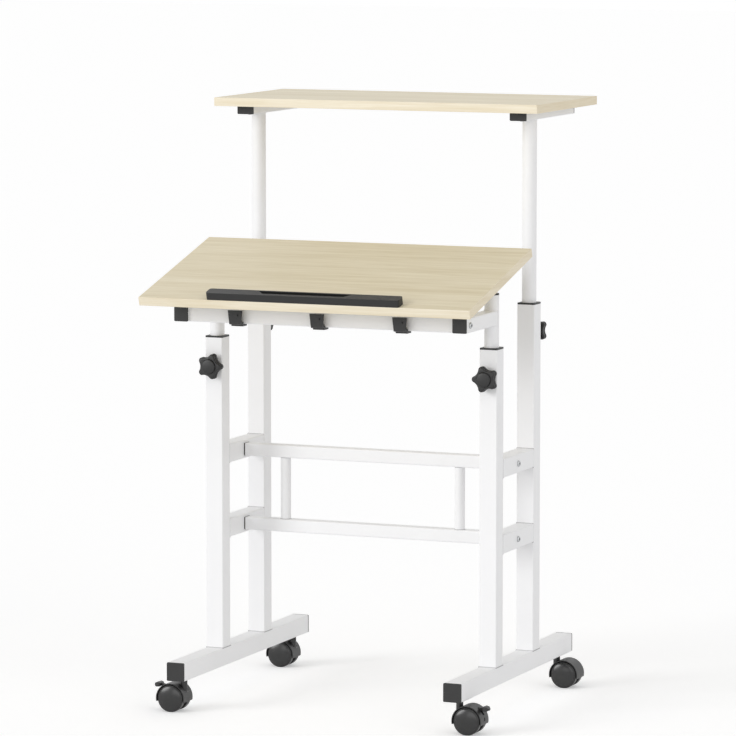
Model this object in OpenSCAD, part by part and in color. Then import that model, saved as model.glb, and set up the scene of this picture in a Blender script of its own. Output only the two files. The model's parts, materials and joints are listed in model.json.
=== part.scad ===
// Mobile standing desk: a wheeled steel frame that carries a tilting desktop and a rear shelf.
// Millimetres. +X is the right of a user who stands at the desk, -Y is the user's side, +Z is up.
// The origin is on the floor, under the middle of the overall width and depth.

/* [Boards] */
// Width of the desktop and of the shelf
board_w = 600; // [500:10:800]
// Depth of the desktop
desk_depth = 300; // [240:10:360]
// Depth of the shelf
shelf_depth = 300; // [250:10:360]
// Thickness of the desktop and of the shelf
board_t = 15; // [12:1:20]
// How far a board stands out past the frame at each side
board_overhang = 30; // [20:1:60]
// Tilt of the desktop as it stands
desk_tilt = 15.3; // [0:0.1:40]
// Height of the shelf's top above the floor
shelf_top_z = 1040.5; // [900:0.5:1150]
// Least gap between the swinging desktop and the shelf
shelf_gap = 6.8; // [5:0.2:20]

/* [Feet and columns] */
// Length of a foot, end caps included
foot_len = 540; // [480:10:640]
// Side of the foot and column tube
frame_tube = 32; // [25:1:40]
// Wall of every square tube
tube_wall = 1.5; // [1.2:0.1:2]
// Outer corner radius of every square tube
tube_corner = 2; // [1.6:0.1:3]
// From the foot's front end to the axis of the front column
front_col_setback = 179.5; // [160:0.5:200]
// From the foot's front end to the axis of the rear column
rear_col_setback = 358.5; // [330:0.5:400]
// Height of the front column's top
front_col_top = 632.5; // [560:0.5:660]
// Height of the rear column's top
rear_col_top = 692.5; // [620:0.5:760]

/* [Side rungs and ladder] */
// Height of the upper rungs' middle
rung_upper_z = 427.5; // [380:0.5:480]
// Height of the lower rungs' middle
rung_lower_z = 297; // [220:0.5:330]
// Height of a rung's section
rung_h = 32; // [20:1:40]
// Width of a rung's section
rung_w = 32; // [20:1:40]
// From the foot's front end to the middle of the ladder
ladder_setback = 266; // [250:1:290]
// Side of a ladder crossbar
crossbar_tube = 22; // [15:1:25]
// Diameter of a ladder upright
upright_d = 18; // [12:1:20]
// Distance between the two uprights
upright_spacing = 326; // [200:2:400]

/* [Desk frame] */
// Diameter of the sliding tubes
slide_d = 25; // [22:1:28]
// Side of the arm and desk crossbar tube
arm_tube = 25; // [20:1:30]
// Height of the arms' middle
arm_z = 686; // [660:0.5:720]
// From the foot's front end to the front of the arms
arm_setback = 29.5; // [20:0.5:60]
// From the foot's front end to the middle of the desk crossbar
desk_bar_setback = 47; // [40:0.5:70]
// Height of the bottom end of the front sliding tubes
desk_tube_bottom = 150; // [130:1:220]
// Distance between the bag hooks
hook_spacing = 150; // [100:5:180]
// Clear room for a bag's strap between a hook and the crossbar
hook_gap = 10; // [7:0.5:14]

/* [Desktop hinge and laptop stop] */
// From the desktop's front edge back to the hinge pins
hinge_setback = 84; // [70:1:110]
// From the hinge pins up to the desktop's underside
hinge_drop = 12; // [11.5:0.5:16]
// Distance between the two hinges
hinge_spacing = 370; // [300:5:420]
// Length of the laptop stop
stop_len = 350; // [300:5:420]
// Depth of the laptop stop
stop_depth = 22; // [18:1:30]
// Height of the laptop stop
stop_h = 12.5; // [9:0.5:14]
// Length of the slot in the laptop stop
slot_len = 168; // [120:2:200]

/* [Shelf frame] */
// Length of a shelf rail, end caps included
rail_len = 240; // [200:5:260]
// Width of a shelf rail
rail_w = 30; // [28:1:36]
// Height of a shelf rail
rail_h = 15; // [12:1:20]
// Height of the bottom end of the rear sliding tubes
shelf_tube_bottom = 300; // [250:5:340]

/* [Knobs] */
// From a front column's top down to its knob
front_knob_drop = 48.5; // [40:0.5:70]
// From a rear column's top down to its knob
rear_knob_drop = 48.5; // [40:0.5:70]
// Diameter over the five lobes of a knob
knob_d = 45.5; // [38:0.5:50]
// Diameter of the knob's stud
stud_d = 8; // [6:1:10]

/* [Casters] */
// Height from the floor to the underside of the feet
caster_h = 58; // [56:1:66]
// Diameter of a caster wheel
wheel_d = 47; // [44:1:50]
// Width of a caster wheel without its dome
wheel_w = 12; // [10:0.5:14]
// From the swivel axis back to the wheel axle
caster_trail = 18.5; // [17:0.5:24]
// From the foot's end in to the swivel axis
caster_inset = 35.5; // [24:0.5:44]
// Diameter of the swivel stem
stem_d = 8; // [7:0.5:9]

/* [Fits] */
// Radial clearance of the sliding tubes in their collars
slide_gap = 0.08; // [0.03:0.01:0.1]
// Radial clearance of pins, studs, stems and axles in their bores
pin_gap = 0.06; // [0.03:0.01:0.1]
// Gap between flat faces that turn or slide past each other
face_gap = 0.3; // [0.2:0.05:0.5]

/* [Hidden] */
$fn = 48;
// How far a cut runs past a face, and a buried end into what holds it
over = 1;
cap_t = 3;
cap_plug = 10;
collar_sleeve = 26;
wheel_r = wheel_d / 2;
slide_r = slide_d / 2;
col_x = board_w / 2 - board_overhang - frame_tube / 2;

// Places in the row of depths, first counted from the front end of a foot.
// The pins lie hinge_lead in front of the crossbar's middle, and the stop lies stop_back behind
// the board's front edge.
hinge_lead = 1;
stop_back = 1;
pivot_setback = desk_bar_setback - hinge_lead;
board_reach = hinge_setback * cos(desk_tilt) + (hinge_drop + board_t) * sin(desk_tilt);
stop_reach = (hinge_setback - stop_back) * cos(desk_tilt)
    + (hinge_drop + board_t + stop_h) * sin(desk_tilt);
board_swing = sqrt(pow(desk_depth - hinge_setback, 2) + pow(hinge_drop + board_t, 2));
shelf_setback = pivot_setback + board_swing + shelf_gap;
front_most = pivot_setback - max(board_reach, stop_reach);
rear_most = shelf_setback + shelf_depth;
foot_front = -(front_most + rear_most) / 2;
col_front_y = foot_front + front_col_setback;
col_rear_y = foot_front + rear_col_setback;
ladder_y = foot_front + ladder_setback;
arm_front = foot_front + arm_setback;
desk_bar_y = foot_front + desk_bar_setback;
pivot_y = foot_front + pivot_setback;
// The middle of the stop, counted from the pins
stop_mid = -hinge_setback + stop_back + stop_depth / 2;
shelf_front = foot_front + shelf_setback;
shelf_mid_y = shelf_front + shelf_depth / 2;
caster_front_y = foot_front + caster_inset;
caster_rear_y = foot_front + foot_len - caster_inset;

// Heights
foot_top = caster_h + frame_tube;
arm_top = arm_z + arm_tube / 2;
pivot_rise = 17.3;
pivot_z = arm_top + pivot_rise;
tube_plug_top = pivot_z + hinge_drop - face_gap;
desk_tube_top = tube_plug_top - cap_t;
shelf_under = shelf_top_z - board_t;
rail_under = shelf_under - rail_h;

// Bolts: button heads with a hex socket
bolt_d = 6;
bolt_head_d = 10.5;
bolt_crown_d = 6.6;
bolt_head_h = 3.3;
bolt_reach = 12;
hex_d = 4.6;
hex_floor = 0.9;
end_plate = 3;
end_pad = 2;
ladder_half = col_x - rung_w / 2 - end_pad;

// Screws: pan heads
screw_d = 4;
screw_head_d = 8;
screw_crown_d = 6;
screw_head_h = 2;
screw_bite = 10;
stop_screw_x = 130;
stop_screw_bite = 7;
rail_screw_span = 200;

// Where the arm's end stops short of the sliding tube's axis
arm_cope = 3;

// Bag hook, seen from the side: a foot under the crossbar, a step and an upright plate
hook_plate = 3;
hook_foot = 4.2;
hook_foot_len = 14;
hook_step_front = 5;
hook_step_rear = 3;
hook_lip = 0.6;
hook_chamfer = 1.5;
hook_floor = 3;
hook_gusset = 5;
hook_top = arm_top - 1.5;
// and from the front: wide at the top, narrow up to the waist, with a small blind hole
hook_top_w = 26.5;
hook_low_w = 21;
hook_waist = 6;
hook_hole_d = 3.6;
hook_hole_deep = 2;
hook_hole_x = 6;
hook_hole_rise = 3;

// Laptop stop
stop_corner = 5;
slot_w = 11;
slot_deep = 7;
slot_back = 2;

// Knob outline: tips and valleys are arcs that meet almost without a corner. A valley bites a
// hair into its two tips, so that the arcs cross instead of only touching.
lobes = 5;
lobe_r = 5.2;
valley_depth = 6.2;
lobe_at = knob_d / 2 - lobe_r;
valley_floor = knob_d / 2 - valley_depth;
valley_bite = 0.02;
valley_at = (pow(lobe_at, 2) - pow(valley_floor - lobe_r + valley_bite, 2))
    / (2 * (lobe_at * cos(180 / lobes) - valley_floor + lobe_r - valley_bite));

// Knob, its stud and the threaded boss on the column
boss_d = 16;
boss_h = 5;
boss_gap = 1;
knob_seat = frame_tube / 2 + boss_h + boss_gap;
knob_hub_d = 20;
knob_hub = 1.5;
knob_head = 14.5;
knob_dome = 3.5;
dome_low_d = 25.4;
dome_top_d = 18;
stud_in_knob = 9;
knob_bore = stud_in_knob + 0.5;
stud_tip_gap = 0.1;
stud_tip = slide_r + stud_tip_gap;

// Hinge: a bracket with two ears, a leaf with one lug between them, and a pin with a clip
ear_t = 3;
ear_clear = 0.5;
bracket_w = 44;
bracket_t = 2.5;
lug_t = 6;
lug_r = 8;
leaf_t = 2.5;
leaf_w = 50;
leaf_front = 30;
leaf_rear = 40;
leaf_screw_at = [[-18, -22], [18, -22], [-18, 32], [18, 32]];
hinge_pin_d = 6;
pin_head_d = 10;
pin_head_h = 2.5;
pin_clip_d = 9;
pin_clip_h = 2;
ear_r = hinge_drop - leaf_t - ear_clear;
ear_gap = lug_t + 2 * face_gap;

// Caster socket in the foot, and the stem
socket_d = 16;
socket_h = 9;
stem_reach = 12;
stem_collar_d = 12.4;
stem_collar_h = 2.5;

// Caster wheel
web_t = 12;
web_half = web_t / 2;
wheel_side_gap = 0.5;
wheel_face = web_half + wheel_side_gap;
tread_chamfer = 1;
rim_chamfer = 1.5;
dome_h = 2.5;
dome_r = wheel_r - 2.5;
dome_steps = 10;
axle_d = 6;
axle_short = 3;
bore_short = 2;

// Caster hood: a fender over both wheels, a web between them and a boss for the stem
fender_t = 1.5;
fender_clear = 1.5;
fender_r = wheel_r + fender_clear + fender_t;
fender_low = 5.5;
rim_proud = 0.5;
fender_half = wheel_face + wheel_w - rim_proud;
boss_top = caster_h - stem_collar_h - face_gap;
stem_floor = 18;
stem_floor_t = 2;
rib_t = 6;
notch_half = 8;
notch_rear = 7.5;
notch_low = 13;

// Brake lever, seen from the side with the axle at [0, 0]: its arm, its pad and the slot for both
lever_at = [6, 14];
lever_t = 6;
lever_w = 17;
lever_pin_d = 3;
lever_hub_r = 3.4;
lever_arm = [[6, 17.4], [20, 23], [26, 23.5], [26, 19.5], [21, 18], [8, 11.3]];
lever_pad = [[24, 18], [22, 24], [27, 25.6], [32, 24.6], [36, 21.6], [36, 19.2], [31, 17.4]];
lever_slot = [[0, 9], [-1, 16], [3, 18.6], [6, 18.8], [20, 24.6], [40, 26], [40, 12], [14, 9]];
pad_start = 21;
pad_end = 36;
lever_taper = 2;
// Slit in the fender below the lever
slit_w = 3;
slit_h = 6;
slit_deep = 5;

// Colours
steel_white = [0.95, 0.95, 0.94];
plastic_black = [0.16, 0.16, 0.16];
wood_pale = [0.87, 0.80, 0.67];
zinc = [0.72, 0.73, 0.74];

// Shared shapes

module along_x() {
    rotate([0, 90, 0]) children();
}

module along_y() {
    rotate([-90, 0, 0]) children();
}

module rounded_rect(w, h, r) {
    square([w, h - 2 * r], center = true);
    square([w - 2 * r, h], center = true);
    for (sx = [-1, 1], sy = [-1, 1])
        translate([sx * (w / 2 - r), sy * (h / 2 - r)]) circle(r);
}

module box_tube(w, h, len) {
    linear_extrude(len) difference() {
        rounded_rect(w, h, tube_corner);
        square([w - 2 * tube_wall, h - 2 * tube_wall], center = true);
    }
}

module round_tube(d, len, wall) {
    linear_extrude(len) difference() {
        circle(d / 2);
        circle(d / 2 - wall);
    }
}

// Plastic cap: its flange covers the tube's end at z = 0, and its plug goes down into the tube.
module tube_cap(w, h) {
    linear_extrude(cap_t) rounded_rect(w, h, tube_corner);
    translate([0, 0, -cap_plug])
        linear_extrude(cap_plug) square([w - 2 * tube_wall, h - 2 * tube_wall], center = true);
}

// Button-head bolt: head from z = 0 up, shank down.
module socket_bolt(reach) {
    difference() {
        union() {
            cylinder(d1 = bolt_head_d, d2 = bolt_crown_d, h = bolt_head_h);
            translate([0, 0, -reach]) cylinder(d = bolt_d, h = reach + over);
        }
        translate([0, 0, hex_floor]) cylinder(d = hex_d, h = bolt_head_h, $fn = 6);
    }
}

// Pan-head screw: head from z = 0 down, shank up.
module pan_screw(reach) {
    translate([0, 0, -screw_head_h]) cylinder(d1 = screw_crown_d, d2 = screw_head_d, h = screw_head_h);
    cylinder(d = screw_d, h = reach);
}

// Tube that ends in drilled plates, so that a bolt at each end can pull it tight.
module bolted_bar(size, half_len) {
    difference() {
        union() {
            translate([-half_len, 0, 0]) along_x() box_tube(size, size, 2 * half_len);
            for (sx = [-1, 1])
                translate([sx * (half_len - end_plate / 2), 0, 0])
                    cube([end_plate, size - tube_wall, size - tube_wall], center = true);
        }
        translate([-half_len - over, 0, 0]) along_x() cylinder(d = bolt_d, h = 2 * (half_len + over));
    }
}

// Base frame

module foot(side) {
    color(steel_white) translate([side * col_x, 0, 0]) difference() {
        union() {
            translate([0, foot_front + cap_t, caster_h + frame_tube / 2])
                along_y() box_tube(frame_tube, frame_tube, foot_len - 2 * cap_t);
            for (y = [caster_front_y, caster_rear_y])
                translate([0, y, caster_h + tube_wall / 2]) cylinder(d = socket_d, h = socket_h);
        }
        for (y = [caster_front_y, caster_rear_y])
            translate([0, y, caster_h - over]) cylinder(d = stem_d, h = socket_h + tube_wall + 2 * over);
    }
}

// Flat pad between the end of a crossbar and the rung it is bolted to.
module crossbar_pad() {
    along_x() linear_extrude(end_pad) difference() {
        rounded_rect(crossbar_tube, crossbar_tube, tube_corner);
        circle(bolt_d / 2);
    }
}

module frame_caps() {
    color(plastic_black) for (sx = [-1, 1]) {
        translate([sx * col_x, foot_front, caster_h + frame_tube / 2]) {
            translate([0, cap_t, 0]) rotate([90, 0, 0]) tube_cap(frame_tube, frame_tube);
            translate([0, foot_len - cap_t, 0]) along_y() tube_cap(frame_tube, frame_tube);
        }
        for (z = [rung_lower_z, rung_upper_z])
            translate([sx * (ladder_half + end_pad / 2) - end_pad / 2, ladder_y, z]) crossbar_pad();
    }
}

// Column with a threaded boss for its knob; facing is -1 for a boss at the front, 1 at the back.
module column(side, y, top, knob_drop, facing) {
    color(steel_white) translate([side * col_x, y, 0]) difference() {
        union() {
            translate([0, 0, foot_top]) box_tube(frame_tube, frame_tube, top - foot_top);
            translate([0, facing * (frame_tube / 2 - tube_wall / 2), top - knob_drop])
                rotate([-90 * facing, 0, 0]) cylinder(d = boss_d, h = boss_h + tube_wall / 2);
        }
        translate([0, facing * (frame_tube / 2 - tube_wall - over), top - knob_drop])
            rotate([-90 * facing, 0, 0])
                cylinder(d = stud_d + 2 * pin_gap, h = boss_h + tube_wall + 2 * over);
    }
}

module side_rungs(side) {
    len = col_rear_y - col_front_y - frame_tube;
    color(steel_white) for (z = [rung_lower_z, rung_upper_z])
        translate([side * col_x, 0, z]) difference() {
            translate([0, col_front_y + frame_tube / 2, 0]) along_y() box_tube(rung_w, rung_h, len);
            translate([-rung_w, ladder_y, 0]) along_x() cylinder(d = bolt_d, h = 2 * rung_w);
        }
}

module ladder_bar(z) {
    color(steel_white) translate([0, ladder_y, z])
        bolted_bar(crossbar_tube, ladder_half);
}

module ladder_uprights() {
    len = rung_upper_z - rung_lower_z - crossbar_tube;
    color(steel_white) for (sx = [-1, 1])
        translate([sx * upright_spacing / 2, ladder_y, rung_lower_z + crossbar_tube / 2])
            round_tube(upright_d, len, tube_wall);
}

module frame_bolts() {
    color(zinc) for (sx = [-1, 1], z = [rung_lower_z, rung_upper_z])
        translate([sx * (col_x + rung_w / 2), ladder_y, z])
            rotate([0, sx * 90, 0]) socket_bolt(rung_w + bolt_reach);
}

// Black bushing that closes a column's top and guides the sliding tube.
module collar(x, y, top) {
    inner = frame_tube - 2 * tube_wall;
    color(plastic_black) translate([x, y, top]) difference() {
        union() {
            linear_extrude(cap_t) rounded_rect(frame_tube, frame_tube, tube_corner);
            translate([0, 0, -collar_sleeve])
                linear_extrude(collar_sleeve) square([inner, inner], center = true);
        }
        translate([0, 0, -collar_sleeve - over])
            cylinder(r = slide_r + slide_gap, h = collar_sleeve + cap_t + 2 * over);
    }
}

module column_collars() {
    for (sx = [-1, 1]) {
        collar(sx * col_x, col_front_y, front_col_top);
        collar(sx * col_x, col_rear_y, rear_col_top);
    }
}

module caster_stems() {
    color(zinc) for (sx = [-1, 1], y = [caster_front_y, caster_rear_y])
        translate([sx * col_x, y, 0]) {
            translate([0, 0, stem_floor + over])
                cylinder(d = stem_d, h = caster_h + stem_reach - stem_floor - over);
            translate([0, 0, caster_h - stem_collar_h]) cylinder(d = stem_collar_d, h = stem_collar_h);
        }
}

// Desk frame

module desk_tube(side) {
    color(steel_white) translate([side * col_x, col_front_y, desk_tube_bottom])
        round_tube(slide_d, desk_tube_top - desk_tube_bottom, tube_wall);
}

module tube_plugs() {
    color(plastic_black) for (sx = [-1, 1])
        translate([sx * col_x, col_front_y, desk_tube_top]) {
            cylinder(d = slide_d, h = cap_t);
            translate([0, 0, -cap_plug]) cylinder(d = slide_d - 2 * tube_wall, h = cap_plug);
        }
}

// The arm's rear end is cut hollow, so that it sits round the front of the sliding tube.
module desk_arm(side) {
    color(steel_white) difference() {
        translate([side * col_x, arm_front + cap_t, arm_z])
            along_y() box_tube(arm_tube, arm_tube, col_front_y - arm_cope - arm_front - cap_t);
        translate([side * col_x, col_front_y, arm_z - arm_tube]) cylinder(r = slide_r, h = 2 * arm_tube);
        translate([side * col_x - arm_tube, desk_bar_y, arm_z])
            along_x() cylinder(d = bolt_d, h = 2 * arm_tube);
    }
}

module arm_caps() {
    color(plastic_black) for (sx = [-1, 1])
        translate([sx * col_x, arm_front + cap_t, arm_z])
            rotate([90, 0, 0]) tube_cap(arm_tube, arm_tube);
}

module desk_crossbar() {
    color(steel_white) translate([0, desk_bar_y, arm_z]) bolted_bar(arm_tube, col_x - arm_tube / 2);
}

module arm_bolts() {
    color(zinc) for (sx = [-1, 1])
        translate([sx * (col_x + arm_tube / 2), desk_bar_y, arm_z])
            rotate([0, sx * 90, 0]) socket_bolt(arm_tube + bolt_reach);
}

module hook_side() {
    bar_face = desk_bar_y - arm_tube / 2;
    bar_under = arm_z - arm_tube / 2;
    plate_y = bar_face - hook_gap;
    polygon([
        [plate_y - hook_plate, hook_top],
        [plate_y - hook_plate, bar_under],
        [plate_y - hook_plate + hook_chamfer, bar_under - hook_lip],
        [bar_face - hook_step_front, bar_under - hook_lip],
        [bar_face - hook_step_rear, bar_under - hook_foot],
        [bar_face + hook_foot_len, bar_under - hook_foot],
        [bar_face + hook_foot_len, bar_under],
        [bar_face, bar_under],
        [bar_face, bar_under + hook_floor],
        [plate_y + hook_gusset, bar_under + hook_floor],
        [plate_y, bar_under + hook_floor + hook_gusset],
        [plate_y, hook_top]
    ]);
}

module hook_front() {
    low = arm_z - arm_tube / 2 - hook_foot;
    polygon([
        [-hook_low_w / 2, low - over],
        [hook_low_w / 2, low - over],
        [hook_low_w / 2, low + hook_waist],
        [hook_top_w / 2, hook_top + over],
        [-hook_top_w / 2, hook_top + over],
        [-hook_low_w / 2, low + hook_waist]
    ]);
}

module bag_hooks() {
    hook_face = desk_bar_y - arm_tube / 2 - hook_gap - hook_plate;
    color(plastic_black) for (i = [-1:1]) translate([i * hook_spacing, 0, 0]) difference() {
        intersection() {
            translate([-hook_top_w / 2, 0, 0])
                rotate([90, 0, 90]) linear_extrude(hook_top_w) hook_side();
            translate([0, desk_bar_y + arm_tube, 0])
                rotate([90, 0, 0]) linear_extrude(3 * arm_tube) hook_front();
        }
        translate([hook_hole_x, hook_face + hook_hole_deep, arm_z + hook_hole_rise])
            rotate([90, 0, 0]) cylinder(d = hook_hole_d, h = hook_hole_deep + over);
    }
}

// Fixed half of a hinge: a base plate on the crossbar and two ears.
module hinge_bracket() {
    plate_y = arm_tube - 2 * over;
    difference() {
        union() {
            translate([-bracket_w / 2, desk_bar_y - plate_y / 2, arm_top])
                cube([bracket_w, plate_y, bracket_t]);
            for (sx = [-1, 1]) translate([sx * (ear_gap + ear_t) / 2 - ear_t / 2, pivot_y, 0]) {
                translate([0, 0, pivot_z]) along_x() cylinder(r = ear_r, h = ear_t);
                translate([0, -ear_r, arm_top + over])
                    cube([ear_t, 2 * ear_r, pivot_z - arm_top - over]);
            }
        }
        translate([-bracket_w / 2, pivot_y, pivot_z])
            along_x() cylinder(d = hinge_pin_d, h = bracket_w);
    }
}

module hinge_brackets() {
    color(zinc) for (sx = [-1, 1]) translate([sx * hinge_spacing / 2, 0, 0]) hinge_bracket();
}

module hinge_pins() {
    half = ear_gap / 2 + ear_t;
    color(zinc) for (sx = [-1, 1]) translate([sx * hinge_spacing / 2, pivot_y, pivot_z]) {
        translate([-half, 0, 0]) along_x() cylinder(d = hinge_pin_d, h = 2 * half);
        translate([-half - pin_head_h, 0, 0]) along_x() cylinder(d = pin_head_d, h = pin_head_h);
        translate([half, 0, 0]) along_x() cylinder(d = pin_clip_d, h = pin_clip_h);
    }
}

// Desktop: drawn flat with the hinge axis at y = 0 and z = 0, then tilted into place.

module on_desktop() {
    translate([0, pivot_y, pivot_z]) rotate([desk_tilt, 0, 0]) children();
}

module desk_board() {
    color(wood_pale) on_desktop() difference() {
        translate([-board_w / 2, -hinge_setback, hinge_drop]) cube([board_w, desk_depth, board_t]);
        for (sx = [-1, 1]) {
            for (p = leaf_screw_at)
                translate([sx * hinge_spacing / 2 + p[0], p[1], hinge_drop - over])
                    cylinder(d = screw_d, h = screw_bite + over);
            translate([sx * stop_screw_x, stop_mid, hinge_drop - over])
                cylinder(d = screw_d, h = board_t + 2 * over);
        }
    }
}

// Moving half of a hinge: a plate under the board and one lug between the ears.
module hinge_leaf() {
    difference() {
        union() {
            translate([-leaf_w / 2, -leaf_front, hinge_drop - leaf_t])
                cube([leaf_w, leaf_front + leaf_rear, leaf_t]);
            translate([-lug_t / 2, 0, 0]) along_x() cylinder(r = lug_r, h = lug_t);
            translate([-lug_t / 2, -lug_r, 0]) cube([lug_t, 2 * lug_r, hinge_drop - leaf_t / 2]);
        }
        translate([-lug_t, 0, 0]) along_x() cylinder(d = hinge_pin_d + 2 * pin_gap, h = 2 * lug_t);
        for (p = leaf_screw_at)
            translate([p[0], p[1], 0]) cylinder(d = screw_d, h = hinge_drop + over);
    }
}

module hinge_leaves() {
    color(zinc) on_desktop() for (sx = [-1, 1]) translate([sx * hinge_spacing / 2, 0, 0]) hinge_leaf();
}

module hinge_screws() {
    color(zinc) on_desktop() for (sx = [-1, 1], p = leaf_screw_at)
        translate([sx * hinge_spacing / 2 + p[0], p[1], hinge_drop - leaf_t])
            pan_screw(leaf_t + screw_bite);
}

// Bar that keeps a laptop from sliding off, with rounded ends and a slot with pointed ends.
module laptop_stop() {
    color(plastic_black) on_desktop() translate([0, stop_mid, hinge_drop + board_t]) difference() {
        linear_extrude(stop_h) rounded_rect(stop_len, stop_depth, stop_corner);
        translate([0, slot_back, stop_h - slot_deep]) linear_extrude(slot_deep + over)
            polygon([
                [-slot_len / 2, slot_w / 2],
                [-slot_len / 2 + slot_w, -slot_w / 2],
                [slot_len / 2 - slot_w, -slot_w / 2],
                [slot_len / 2, slot_w / 2]
            ]);
        for (sx = [-1, 1])
            translate([sx * stop_screw_x, 0, -over]) cylinder(d = screw_d, h = stop_screw_bite + over);
    }
}

module stop_screws() {
    color(zinc) on_desktop() for (sx = [-1, 1])
        translate([sx * stop_screw_x, stop_mid, hinge_drop]) pan_screw(board_t + stop_screw_bite);
}

// Shelf frame

module shelf_tube(side) {
    color(steel_white) translate([side * col_x, col_rear_y, shelf_tube_bottom])
        round_tube(slide_d, rail_under - shelf_tube_bottom, tube_wall);
}

module shelf_rail(side) {
    color(steel_white) translate([side * col_x, shelf_mid_y, rail_under + rail_h / 2]) difference() {
        translate([0, -rail_len / 2 + cap_t, 0]) along_y() box_tube(rail_w, rail_h, rail_len - 2 * cap_t);
        for (sy = [-1, 1])
            translate([0, sy * rail_screw_span / 2, -rail_h]) cylinder(d = screw_d, h = 2 * rail_h);
    }
}

module rail_caps() {
    color(plastic_black) for (sx = [-1, 1])
        translate([sx * col_x, shelf_mid_y, rail_under + rail_h / 2]) {
            translate([0, -rail_len / 2 + cap_t, 0]) rotate([90, 0, 0]) tube_cap(rail_w, rail_h);
            translate([0, rail_len / 2 - cap_t, 0]) along_y() tube_cap(rail_w, rail_h);
        }
}

module shelf_board() {
    color(wood_pale) difference() {
        translate([-board_w / 2, shelf_front, shelf_under]) cube([board_w, shelf_depth, board_t]);
        for (sx = [-1, 1], sy = [-1, 1])
            translate([sx * col_x, shelf_mid_y + sy * rail_screw_span / 2, shelf_under - over])
                cylinder(d = screw_d, h = screw_bite + over);
    }
}

module shelf_screws() {
    color(zinc) for (sx = [-1, 1], sy = [-1, 1])
        translate([sx * col_x, shelf_mid_y + sy * rail_screw_span / 2, rail_under])
            pan_screw(rail_h + screw_bite);
}

// Knobs: drawn with the sliding tube's axis at z = 0 and the knob's face up.

module at_knob(side, y, z, facing) {
    translate([side * col_x, y, z]) rotate([-90 * facing, 0, 0]) children();
}

module stud(side, y, z, facing) {
    color(zinc) at_knob(side, y, z, facing) translate([0, 0, stud_tip])
        cylinder(d = stud_d, h = knob_seat + stud_in_knob - stud_tip);
}

module star_outline() {
    step = 180 / lobes;
    difference() {
        union() {
            polygon([for (i = [0:2 * lobes - 1])
                (i % 2 == 0 ? lobe_at : valley_at) * [cos(i * step), sin(i * step)]]);
            for (i = [0:lobes - 1]) rotate(2 * i * step) translate([lobe_at, 0]) circle(lobe_r);
        }
        for (i = [0:lobes - 1])
            rotate((2 * i + 1) * step) translate([valley_at, 0]) circle(valley_at - valley_floor);
    }
}

// The first lobe points to +X when lobe_turn is 0.
module knob(side, y, z, facing, lobe_turn) {
    color(plastic_black) at_knob(side, y, z, facing) translate([0, 0, knob_seat]) difference() {
        union() {
            cylinder(d = knob_hub_d, h = knob_hub + over);
            translate([0, 0, knob_hub]) linear_extrude(knob_head) rotate(lobe_turn) star_outline();
            translate([0, 0, knob_hub + knob_head - over])
                cylinder(d1 = dome_low_d, d2 = dome_top_d, h = knob_dome + over);
        }
        translate([0, 0, -over]) cylinder(d = stud_d + 2 * pin_gap, h = knob_bore + over);
    }
}

front_knob_z = front_col_top - front_knob_drop;
rear_knob_z = rear_col_top - rear_knob_drop;

// Casters: drawn with the swivel axis at x = 0 and y = 0, and the wheels trailing to +X.

module at_caster(side, y) {
    translate([side * col_x, y, 0]) mirror([side < 0 ? 1 : 0, 0, 0]) children();
}

module hood_outline() {
    difference() {
        circle(fender_r);
        translate([-2 * fender_r, -2 * fender_r]) square([4 * fender_r, 2 * fender_r - fender_low]);
    }
}

// Side view of a slab of the caster, from y = -half to y = half, round the axle.
module caster_slab(half) {
    translate([caster_trail, half, wheel_r]) rotate([90, 0, 0]) linear_extrude(2 * half) children();
}

module hood(side, y, braked) {
    color(plastic_black) at_caster(side, y) difference() {
        union() {
            caster_slab(fender_half) difference() {
                hood_outline();
                circle(fender_r - fender_t);
            }
            caster_slab(web_half) hood_outline();
            translate([0, 0, stem_floor - stem_floor_t])
                cylinder(d = web_t, h = boss_top - stem_floor + stem_floor_t);
            translate([0, -rib_t / 2, stem_floor]) cube([caster_trail, rib_t, fender_r]);
            caster_slab(wheel_face + wheel_w - axle_short) circle(axle_d / 2);
        }
        // Notch round the stem in the leading side of the fender
        difference() {
            translate([-notch_half, -notch_half, wheel_r + notch_low])
                cube([notch_half + notch_rear, 2 * notch_half, caster_h]);
            cylinder(d = web_t, h = caster_h);
            translate([0, -rib_t / 2, 0]) cube([caster_trail, rib_t, caster_h]);
        }
        translate([0, 0, stem_floor]) cylinder(d = stem_d + 2 * pin_gap, h = caster_h);
        if (braked) {
            difference() {
                caster_slab(lever_t / 2 + face_gap) polygon(lever_slot);
                caster_slab(web_half) translate(lever_at) circle(lever_pin_d / 2);
            }
            caster_slab(slit_w / 2) translate([fender_r - slit_deep, 0]) square([2 * slit_deep, slit_h]);
        }
    }
}

// Wheel with a blind bore and a domed cap; its inner face is at y = 0 and its dome points to +Y.
module wheel_body() {
    bore_r = axle_d / 2 + pin_gap;
    bore_end = wheel_w - bore_short;
    turn = 90 / dome_steps;
    along_y() rotate_extrude($fn = 96) polygon(concat(
        [[0, bore_end], [bore_r, bore_end], [bore_r, 0], [wheel_r - tread_chamfer, 0],
            [wheel_r, tread_chamfer], [wheel_r, wheel_w - rim_chamfer], [wheel_r - rim_chamfer, wheel_w]],
        [for (i = [0:dome_steps]) [dome_r * cos(turn * i), wheel_w + dome_h * sin(turn * i)]]
    ));
}

// fore is -1 for the wheel at the front of the axle, 1 for the one at the back.
module wheel(side, y, fore) {
    color(plastic_black) at_caster(side, y) translate([caster_trail, fore * wheel_face, wheel_r])
        mirror([0, fore < 0 ? 1 : 0, 0]) wheel_body();
}

// Pad from above: a half round at its tip and a slight taper towards the fender.
module lever_plan() {
    tip = lever_w / 2;
    translate([pad_end - tip, 0]) circle(tip);
    polygon([
        [pad_start, -tip + lever_taper],
        [pad_end - tip, -tip],
        [pad_end - tip, tip],
        [pad_start, tip - lever_taper]
    ]);
}

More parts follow.
